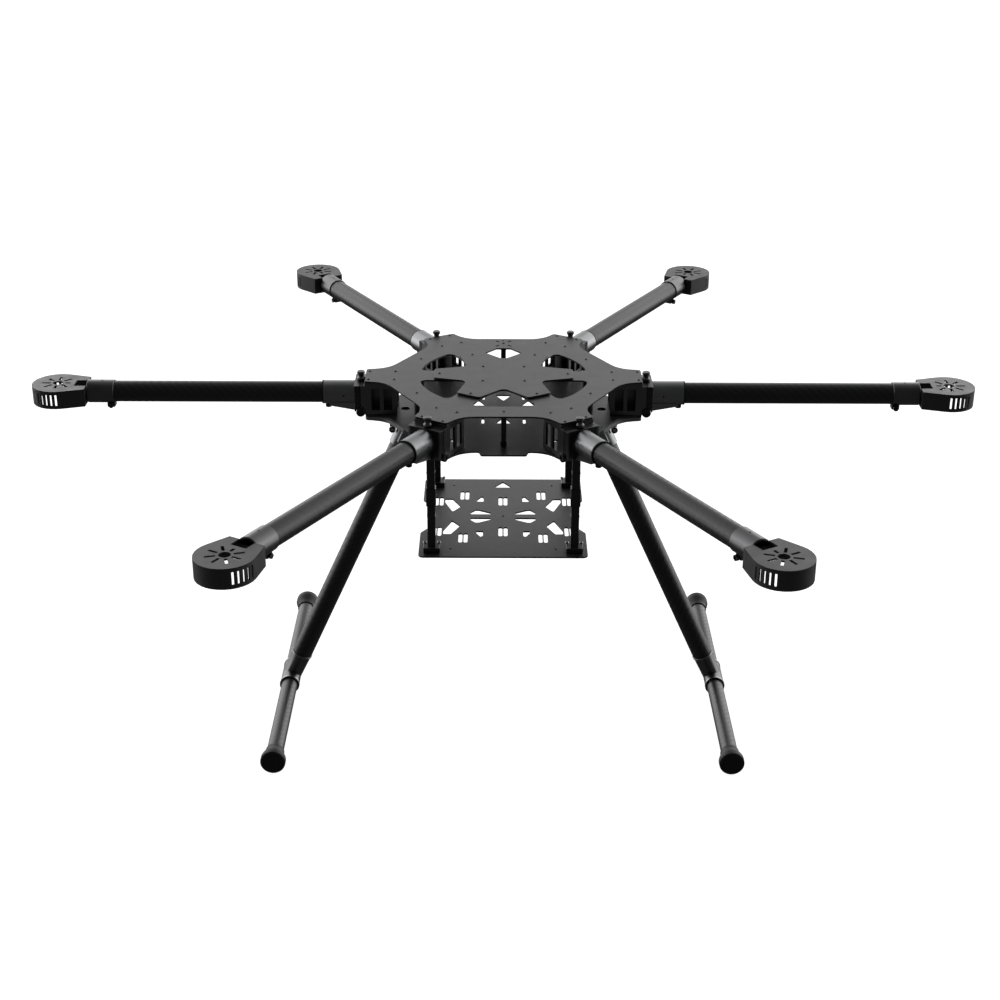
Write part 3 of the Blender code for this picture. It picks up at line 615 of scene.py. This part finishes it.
class AIRFRAME_OT_payload_plate(bpy.types.Operator):
    """Slotted payload plate"""
    bl_idname = "airframe.payload_plate"
    bl_label = "Payload Plate"

    def execute(self, context):
        cuts = []
        for pair_x, pair_y in ((0.0385, 0.0495), (0.064, 0.035)):
            for offset in (-0.0025, 0.0025):
                cuts += mirrored_four(slot(pair_x + offset, pair_y, 0.0198, 0.0038, math.pi / 2))
        cuts += mirrored_four(slot(0.0025, 0.0355, 0.0198, 0.0038, math.pi / 2))
        kite = rounded([(0.058, 0.0408, 0.001), (0.0505, 0.0408, 0.001), (0.042, 0.0225, 0.001),
                        (0.05, 0.0105, 0.001), (0.058, 0.033, 0.001)])
        shard = rounded([(0.0195, 0.0345, 0.001), (0.026, 0.0345, 0.001), (0.026, 0.0385, 0.001),
                         (0.0215, 0.0475, 0.001), (0.0195, 0.044, 0.001)])
        moon = rounded([(0.012, 0.0045, 0.001), (0.032, 0.0045, 0.001), (0.032, 0.0085, 0.001),
                        (0.027, 0.015, 0.002), (0.0235, 0.0145, 0.002), (0.012, 0.0078, 0.001)])
        for outline in (kite, shard, moon):
            cuts += mirrored_four(outline)
        cuts.append(rounded([(-0.0095, 0.0695, 0.001), (0.0095, 0.0695, 0.001), (0.0, 0.0835, 0.001)]))
        cuts += mirrored_four(circle(0.05, 0.0738, 0.0011))
        cuts.append(circle(0.0, 0.0, 0.0012))
        low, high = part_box("payload_plate")[0].z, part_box("payload_plate")[1].z
        mesh = flat_plate([payload_outline()] + cuts, low, high, sizes().plate_edge)
        place_piece("plate_payload", mesh, "plate", "frame", ["payload_plate"])
        return {"FINISHED"}


# ---------------------------------------------------------------- tubes
def wrap_coordinates(mesh, radius):
    """A UV map in metres for a tube along Z: round it, and along it."""
    layer = mesh.uv_layers.new(name="wrap")
    for face in mesh.polygons:
        middle = math.atan2(face.center.y, face.center.x)
        for loop in face.loop_indices:
            point = mesh.vertices[mesh.loops[loop].vertex_index].co
            angle = math.atan2(point.y, point.x)
            if angle - middle > math.pi:
                angle -= 2 * math.pi
            elif middle - angle > math.pi:
                angle += 2 * math.pi
            layer.data[loop].uv = (angle * radius, point.z)


def wrapped_tube(length, outer, inner, place):
    """A hollow tube with chamfered ends and its weave map."""
    lip = 0.0002
    profile = [(outer, lip), (outer, length - lip), (outer - lip, length), (inner, length),
               (inner, 0.0), (outer - lip, 0.0)]
    mesh = turned(profile, None, 64, closed=True)
    # A whole number of repeats of four tows goes round the tube, so the weave closes on itself.
    repeat = 4 * sizes().tow
    wrap_coordinates(mesh, round(2 * math.pi * outer / repeat) * repeat / (2 * math.pi))
    mesh.transform(place)
    return mesh


def leg_line(side):
    """Foot and top of the leg's axis."""
    return Vector((0.2170 * side, 0.0, TOP_Z - 0.3200)), Vector((0.0857 * side, 0.0, TOP_Z - 0.0310))


def leg_frame(side):
    """Places a shape so that its +Z runs up the leg from the skid's axis."""
    foot, top = leg_line(side)
    return Matrix.Translation(foot) @ (top - foot).to_track_quat("Z", "Y").to_matrix().to_4x4()


class AIRFRAME_OT_tubes(bpy.types.Operator):
    """Carbon tubes of the arms, legs and skids"""
    bl_idname = "airframe.tubes"
    bl_label = "Carbon Tubes"

    def execute(self, context):
        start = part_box("arm_tube_1")[0].x
        arm = wrapped_tube(TUBE_END - start, TUBE_RADIUS, TUBE_BORE, lying(start, AXIS_Z))
        on_each_arm("tube_arm", arm, "tube", "arm_{}", "arm_tube_{}")
        for side, label in ((-1, "left"), (1, "right")):
            foot, top = leg_line(side)
            length = (top - foot).length - 0.0345
            place = leg_frame(side) @ Matrix.Translation((0, 0, LEG_TUBE_START))
            leg = wrapped_tube(length, TUBE_RADIUS, TUBE_BORE, place)
            place_piece(f"tube_leg_{label}", leg, "tube", "frame", [f"leg_tube_{label}"])
            low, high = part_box(f"skid_tube_{label}")
            place = Matrix.Translation((foot.x, high.y, foot.z)) @ Matrix.Rotation(math.pi / 2, 4, "X")
            skid = wrapped_tube(high.y - low.y, SKID_RADIUS, SKID_BORE, place)
            place_piece(f"tube_skid_{label}", skid, "tube", "frame",
                        [f"skid_tube_{label}"])
        return {"FINISHED"}


# ---------------------------------------------------------------- arm roots and seats
class AIRFRAME_OT_hinges(bpy.types.Operator):
    """Arm brackets, folding adapters, pins, knobs and clamp screws"""
    bl_idname = "airframe.hinges"
    bl_label = "Arm Hinges"

    def execute(self, context):
        edge = sizes().casting_edge
        on_each_arm("bracket", refined("arm_bracket_1", edge), "sleeve", "frame",
                    "arm_bracket_{}")
        on_each_arm("adapter", refined("arm_adapter_1", edge), "hinge", "arm_{}",
                    "arm_adapter_{}")
        self.pins_and_knobs()
        self.sleeve_fittings()
        return {"FINISHED"}

    def pins_and_knobs(self):
        half, head, recess = 0.0173, 0.0193, 0.0183
        end = [(0.0, recess), (0.0016, recess), (0.0019, head), (0.0036, head),
               (0.0043, head - 0.0006), (0.0043, half), (0.0020, half)]
        profile = end + [(radius, -height) for radius, height in reversed(end)]
        on_each_arm("pin", turned(profile, crosswise(HINGE_U, HINGE_Z), 28), "screw", "frame",
                    "hinge_pin_{}")
        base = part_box("thumb_screw_1")[0].z + 0.0110
        profile = [(0.0, 0.0090), (0.0031, 0.0090), (0.0038, 0.0084), (0.0038, 0.0068),
                   (0.0026, 0.0051), (0.0026, 0.0036), (0.0040, 0.0021), (0.0040, 0.0004),
                   (0.0036, 0.0), (0.0020, 0.0),
                   (0.0020, -0.0104), (0.0015, -0.0110), (0.0, -0.0110)]
        knob = turned(profile, None, 32)
        for point in knob.vertices:
            ridge = round(math.atan2(point.co.y, point.co.x) / (math.pi / 16)) % 2
            if ridge and 0.0032 < math.hypot(point.co.x, point.co.y) and point.co.z > 0.006:
                point.co.xy *= 0.93
        knob.transform(Matrix.Translation((HINGE_U, 0.0, base)))
        on_each_arm("knob", knob, "sleeve", "screw_{}", "thumb_screw_{}")

    def sleeve_fittings(self):
        ring = turned([(0.0102, 0.0), (0.0113, 0.0), (0.0113, 0.0010), (0.0102, 0.0010)],
                      lying(SLEEVE_END + CLEAR, AXIS_Z), 64, closed=True)
        on_each_arm("sleeve_ring", ring, "rubber", "arm_{}")
        profile = [(0.0, 0.0), (0.0030, 0.0), (0.0030, 0.0032), (0.0024, 0.0038), (0.0014, 0.0038),
                   (0.0014, 0.0020), (0.0, 0.0020)]
        place = Matrix.Translation((0.1675, 0.0, AXIS_Z - 0.0112)) @ Matrix.Rotation(math.pi, 4, "X")
        head = turned(profile, place, 20)
        on_each_arm("clamp_screw_root", head, "screw", "arm_{}")
        # Painted shade: a thin dark disc on each side of the root sleeve stands in for the shade inside
        # a small hole.
        low, high = ROOT_SLEEVE_RADIUS - 0.00002, ROOT_SLEEVE_RADIUS + 0.00014
        dot = [(0.0, low), (0.0009, low), (0.0009, high), (0.0, high)]
        dots = [turned(dot, place, 16) for place in both_sides(crosswise(0.1520, AXIS_Z))]
        on_each_arm("painted_root_sleeve_hole_shade", joined(dots), "rubber", "arm_{}")
        # Painted shade: thin dark strips on the sides of the flanges stand in for the slits and keyhole
        # there, their darkness being the shade inside them.
        places = ((0.1375, 0.1401, -0.0062, -0.0050), (0.1375, 0.1401, -0.0135, -0.0125),
                  (0.1382, 0.1393, 0.0002, 0.0036))
        marks = [box((start, side * FLANGE_SIDE - 0.0001, TOP_Z + low),
                     (stop, side * FLANGE_SIDE + 0.0001, TOP_Z + high))
                 for side in (-1, 1) for start, stop, low, high in places]
        on_each_arm("painted_flange_slit_shade", joined(marks), "rubber", "arm_{}")


class AIRFRAME_OT_motor_seats(bpy.types.Operator):
    """Motor seats and the split sleeves that carry them"""
    bl_idname = "airframe.motor_seats"
    bl_label = "Motor Seats"

    def execute(self, context):
        on_each_arm("seat", refined("motor_mount_1", 0.0004), "seat", "arm_{}",
                    "motor_mount_{}")
        inner, outer, length = 0.0102, 0.0110, TUBE_END - SEAT_SLEEVE_START
        chamfer = 0.0003
        profile = [(inner, 0.0), (outer - chamfer, 0.0), (outer, chamfer), (outer, length - chamfer),
                   (outer - chamfer, length), (inner, length)]
        gap = math.radians(7)
        place = lying(SEAT_SLEEVE_START, AXIS_Z) @ Matrix.Rotation(gap / 2, 4, "Z")
        sleeve = turned(profile, place, 60, closed=True, sweep=2 * math.pi - gap)
        on_each_arm("seat_sleeve", sleeve, "sleeve", "arm_{}")
        # Painted shade: a thin dark disc on top of the seat sleeve stands in for the shade inside a
        # small hole.
        dot = turned([(0.0, 0.0), (0.0010, 0.0), (0.0010, 0.00014), (0.0, 0.00014)],
                     Matrix.Translation((0.3825, 0.0, AXIS_Z + outer - 0.00006)), 16)
        on_each_arm("painted_seat_sleeve_hole_shade", dot, "rubber", "arm_{}")
        lug = box((0.3716, -0.0042, AXIS_Z - 0.0150), (0.3790, 0.0042, AXIS_Z - 0.0104), 0.0005)
        on_each_arm("seat_lug", lug, "sleeve", "arm_{}")
        profile = [(0.0, -0.0062), (0.0012, -0.0062), (0.0014, -0.0072), (0.0026, -0.0072),
                   (0.0026, -0.0044), (0.0013, -0.0044), (0.0013, 0.0044), (0.0024, 0.0044),
                   (0.0024, 0.0060), (0.0, 0.0060)]
        screw = turned(profile, crosswise(0.3752, AXIS_Z - 0.0130), 20)
        on_each_arm("seat_screw", screw, "screw", "arm_{}")
        return {"FINISHED"}


# ---------------------------------------------------------------- hub and bay fittings
class AIRFRAME_OT_fasteners(bpy.types.Operator):
    """Standoffs and the screws of the plates"""
    bl_idname = "airframe.fasteners"
    bl_label = "Standoffs and Screws"

    def execute(self, context):
        low, high = FLOOR_OF_HUB + CLEAR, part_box("top_plate")[0].z - CLEAR
        waist = [(0.0, high), (0.0028, high), (0.0030, high - 0.0004), (0.0030, high - 0.0050),
                 (0.0025, high - 0.0056), (0.0025, low + 0.0056), (0.0030, low + 0.0050),
                 (0.0030, low + 0.0004), (0.0028, low), (0.0, low)]
        for number, (x, y) in enumerate(notch_screws(), 1):
            mesh = turned(waist, Matrix.Translation((x, y, 0.0)), 24)
            nodes = {2: ["standoff_back"], 5: ["standoff_front"]}.get(number, [])
            place_piece(f"standoff_{number}", mesh, "fitting", "frame", nodes)
        radius = sizes().screw_head / 2
        groups = {
            "screws_top": [(x, y, DECK_TOP, 1) for x, y in lobe_screws() + notch_screws()],
            "screws_under": [(x, y, DECK_UNDER, -1) for x, y in notch_screws()
                             if abs(x) < 0.02],
            "screws_star": [(x, y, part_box("upper_plate")[1].z, 1) for x, y in self.star_screws()],
        }
        for name, places in groups.items():
            heads = [button_head(x, y, z, radius, 0.0005, up) for x, y, z, up in places]
            place_piece(name, joined(heads), "screw", "frame")
        return {"FINISHED"}

    def star_screws(self):
        outer = [turned_outline([(0.061, 0.0)], ARM_STEP * index)[0] for index in range(6)]
        return outer + [(0.0197 * sx, 0.0195 * sy) for sx, sy in MIRRORED]


class AIRFRAME_OT_payload_posts(bpy.types.Operator):
    """Posts between the hub and the payload plate"""
    bl_idname = "airframe.payload_posts"
    bl_label = "Payload Posts"

    def execute(self, context):
        for label in ("left_front", "left_back", "right_front", "right_back"):
            node = f"payload_post_{label}"
            mesh = refined(node, 0.0004)
            place_piece(f"post_{label}", mesh, "fitting", "frame", [node])
            low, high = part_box(node)
            x, y = (low.x + high.x) / 2, (low.y + high.y) / 2
            half = 0.0041
            bands = [box((x - half, y - half, low.z + rise),
                         (x + half, y + half, low.z + rise + 0.0006), 0.0002)
                     for rise in (0.020, 0.036, 0.060, 0.080)]
            place_piece(f"post_bands_{label}", joined(bands), "sleeve", "frame")
            heads = [button_head(x + shift, y + 0.0055, low.z + 0.0050, 0.0019, 0.0012)
                     for shift in (-0.0068, 0.0068)]
            place_piece(f"foot_screws_{label}", joined(heads), "steel", "frame")
        return {"FINISHED"}


class AIRFRAME_OT_landing_gear(bpy.types.Operator):
    """Leg sockets, tees and skid caps"""
    bl_idname = "airframe.landing_gear"
    bl_label = "Landing Gear"

    def execute(self, context):
        for side, label in ((-1, "left"), (1, "right")):
            socket = refined(f"leg_socket_{label}", 0.0003)
            place_piece(f"socket_{label}", socket, "casting", "frame",
                        [f"leg_socket_{label}"])
            foot, _ = leg_line(side)
            tee = refined(f"skid_tee_{label}", 0.0003)
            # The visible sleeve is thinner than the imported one.
            for point in tee.vertices:
                reach = math.hypot(point.co.x - foot.x, point.co.z - foot.z)
                if 0.0095 < reach < 0.0109:
                    shrink = 1.0 - 0.0008 / reach
                    point.co.x = foot.x + (point.co.x - foot.x) * shrink
                    point.co.z = foot.z + (point.co.z - foot.z) * shrink
            place_piece(f"tee_{label}", tee, "sleeve", "frame",
                        [f"skid_tee_{label}"])
            self.tee_bands(side, label)
            self.clamp_bolt(side, label)
            for end, place in ((-1, "front"), (1, "back")):
                self.cap(f"cap_{label}_{place}", foot, end, f"skid_cap_{label}_{place}")
        return {"FINISHED"}

    def tee_bands(self, side, label):
        """Lips at both ends of the tee's sleeve and where the leg tube meets its neck."""
        foot, _ = leg_line(side)
        band = [(0.0094, 0.0), (0.0098, 0.0), (0.0100, 0.0002), (0.0100, 0.0026), (0.0098, 0.0028),
                (0.0094, 0.0028)]
        along = Matrix.Rotation(math.pi / 2, 4, "X")
        lips = [turned(band, Matrix.Translation((foot.x, y, foot.z)) @ along, 48, closed=True)
                for y in (-0.0171, 0.0199)]
        collar = [(0.01005, 0.0), (0.0105, 0.0), (0.0107, 0.0002), (0.0107, 0.0016),
                  (0.0105, 0.0018), (0.01005, 0.0018)]
        place = leg_frame(side) @ Matrix.Translation((0.0, 0.0, LEG_TUBE_START - 0.0020))
        lips.append(turned(collar, place, 48, closed=True))
        place_piece(f"tee_bands_{label}", joined(lips), "casting", "frame")

    def clamp_bolt(self, side, label):
        """The bolt that closes the sleeve at the top of the leg: two dark heads with bright ends."""
        head = [(0.0017, 0.0052), (0.0032, 0.0052), (0.0032, 0.0074), (0.0029, 0.0077),
                (0.0017, 0.0077)]
        end = [(0.0, 0.0052), (0.0016, 0.0052), (0.0016, 0.0071), (0.0, 0.0071)]
        places = both_sides(crosswise(0.1068 * side, TOP_Z - 0.0441))
        heads = [turned(head, place, 28, closed=True) for place in places]
        place_piece(f"leg_bolt_heads_{label}", joined(heads), "screw", "frame")
        ends = [turned(end, place, 20) for place in places]
        place_piece(f"leg_bolt_ends_{label}", joined(ends), "steel", "frame")

    def cap(self, name, foot, end, node):
        low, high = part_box(node)
        face = low.y if end < 0 else high.y
        profile = [(0.0, 0.0004), (0.0090, 0.0), (0.0100, 0.0), (0.0112, 0.0004), (0.0119, 0.0012),
                   (0.0120, 0.0022), (0.0120, 0.0066), (0.0116, 0.0084), (0.0106, 0.0112),
                   (0.0098, 0.0138), (0.0092, 0.0162), (0.0090, 0.0200), (0.0082, 0.0200),
                   (0.0082, 0.0022), (0.0, 0.0022)]
        place = Matrix.Translation((foot.x, face, foot.z)) @ Matrix.Rotation(math.pi / 2 * end, 4, "X")
        place_piece(name, turned(profile, place, 48), "rubber", "frame", [node])


# ---------------------------------------------------------------- stage
class AIRFRAME_OT_stage(bpy.types.Operator):
    """Floor, studio light and camera"""
    bl_idname = "airframe.stage"
    bl_label = "Stage"

    def execute(self, context):
        self.floor()
        self.light()
        self.camera()
        context.scene.view_settings.view_transform = "Standard"
        return {"FINISHED"}

    def floor(self):
        bm = bmesh.new()
        bmesh.ops.create_grid(bm, x_segments=1, y_segments=1, size=30.0)
        mesh = finished(bm)
        material, tree, shader = new_material("white_sweep", 0.9)
        shader.inputs["Base Color"].default_value = hex_colour("#cfcfcf")
        shader.inputs["Specular IOR Level"].default_value = 0.0
        shader.inputs["Emission Color"].default_value = (1.0, 1.0, 1.0, 1.0)
        shader.inputs["Emission Strength"].default_value = 0.90
        mesh.materials.append(material)
        floor = bpy.data.objects.new("floor", mesh)
        bpy.context.scene.collection.objects.link(floor)
        # The sweep is only a backdrop: it doesn't throw light back up at the airframe.
        floor.visible_diffuse = False
        floor.visible_glossy = False

    def light(self):
        world = bpy.data.worlds.new("studio")
        bpy.context.scene.world = world
        world.use_nodes = True
        tree = world.node_tree
        background = tree.nodes["Background"]
        direction = add(tree, "ShaderNodeTexCoord").outputs["Generated"]
        side = add(tree, "ShaderNodeSeparateXYZ", {0: direction})
        across = math_node(tree, "ABSOLUTE", side.outputs[0])
        # White panels stand behind and beside the airframe, brightest at the sides.
        low = ranged(tree, side.outputs[2], -0.35, -0.05, 0.0, 1.0)
        high = ranged(tree, side.outputs[2], 0.24, 0.50, 1.45, 0.75)
        over = ranged(tree, side.outputs[2], 0.55, 0.85, 1.0, 0.28)
        reach = math_node(tree, "ADD", side.outputs[1], math_node(tree, "MULTIPLY", across, 0.25))
        behind = ranged(tree, reach, -0.05, 0.35, 0.0, 1.0)
        middle = ranged(tree, across, 0.08, 0.40, 0.49, 0.85)
        beside = ranged(tree, across, 0.45, 0.80, 1.0, 1.2)
        glow = 1.75
        for share in (low, high, over, behind, middle, beside):
            glow = math_node(tree, "MULTIPLY", glow, share)
        glow = math_node(tree, "ADD", glow, 0.07)
        seen = add(tree, "ShaderNodeLightPath").outputs["Is Camera Ray"]
        lit = math_node(tree, "MAXIMUM", glow, seen)
        tree.links.new(lit, background.inputs["Strength"])
        background.inputs["Color"].default_value = (1.0, 1.0, 1.0, 1.0)
        for name, x in (("back_left", -1.6), ("back_right", 1.6)):
            self.panel_light(name, (x, 2.6, 1.5), 1.4, 6.0)

    def panel_light(self, name, place, size, power):
        data = bpy.data.lights.new(name, "AREA")
        data.shape = "SQUARE"
        data.size = size
        data.energy = power
        lamp = bpy.data.objects.new(name, data)
        bpy.context.scene.collection.objects.link(lamp)
        lamp.location = place
        lamp.rotation_euler = (Vector((0, 0, 0.2)) - Vector(place)).to_track_quat("-Z", "Y").to_euler()

    def camera(self):
        data = bpy.data.cameras.new("camera")
        data.lens = 61.88
        data.sensor_width = 36.0
        data.clip_start = 0.01
        data.clip_end = 200.0
        camera = bpy.data.objects.new("camera", data)
        bpy.context.scene.collection.objects.link(camera)
        turn = (Matrix.Rotation(-0.0013, 4, "Z") @ Matrix.Rotation(math.radians(65.513), 4, "X")
                @ Matrix.Rotation(0.0039, 4, "Z"))
        camera.matrix_world = Matrix.Translation((-0.0050, -1.5383, TOP_Z + 0.5794)) @ turn
        bpy.context.scene.camera = camera


class AIRFRAME_PT_sidebar(bpy.types.Panel):
    """Settings and steps of the airframe"""
    bl_label = "Hexacopter Airframe"
    bl_idname = "AIRFRAME_PT_sidebar"
    bl_space_type = "VIEW_3D"
    bl_region_type = "UI"
    bl_category = "Airframe"

    def draw(self, context):
        layout = self.layout
        for group in (context.scene.airframe_sizes, context.scene.airframe_colours):
            column = layout.column(align=True)
            for name in group.__annotations__:
                column.prop(group, name)
        steps = layout.column(align=True)
        for step in STEPS:
            steps.operator(step.bl_idname)


STEPS = (AIRFRAME_OT_hub_plates, AIRFRAME_OT_payload_plate, AIRFRAME_OT_tubes, AIRFRAME_OT_hinges,
         AIRFRAME_OT_motor_seats, AIRFRAME_OT_fasteners, AIRFRAME_OT_payload_posts,
         AIRFRAME_OT_landing_gear, AIRFRAME_OT_stage)
CLASSES = (AirframeColours, AirframeSizes) + STEPS + (AIRFRAME_PT_sidebar,)


def register():
    for item in CLASSES:
        bpy.utils.register_class(item)
    bpy.types.Scene.airframe_colours = bpy.props.PointerProperty(type=AirframeColours)
    bpy.types.Scene.airframe_sizes = bpy.props.PointerProperty(type=AirframeSizes)


def unregister():
    del bpy.types.Scene.airframe_sizes
    del bpy.types.Scene.airframe_colours
    for item in reversed(CLASSES):
        bpy.utils.unregister_class(item)


def main():
    """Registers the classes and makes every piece."""
    register()
    make_materials()
    bpy.ops.airframe.hub_plates()
    bpy.ops.airframe.payload_plate()
    bpy.ops.airframe.tubes()
    bpy.ops.airframe.hinges()
    bpy.ops.airframe.motor_seats()
    bpy.ops.airframe.fasteners()
    bpy.ops.airframe.payload_posts()
    bpy.ops.airframe.landing_gear()
    bpy.ops.airframe.stage()


if __name__ == "__main__":
    main()
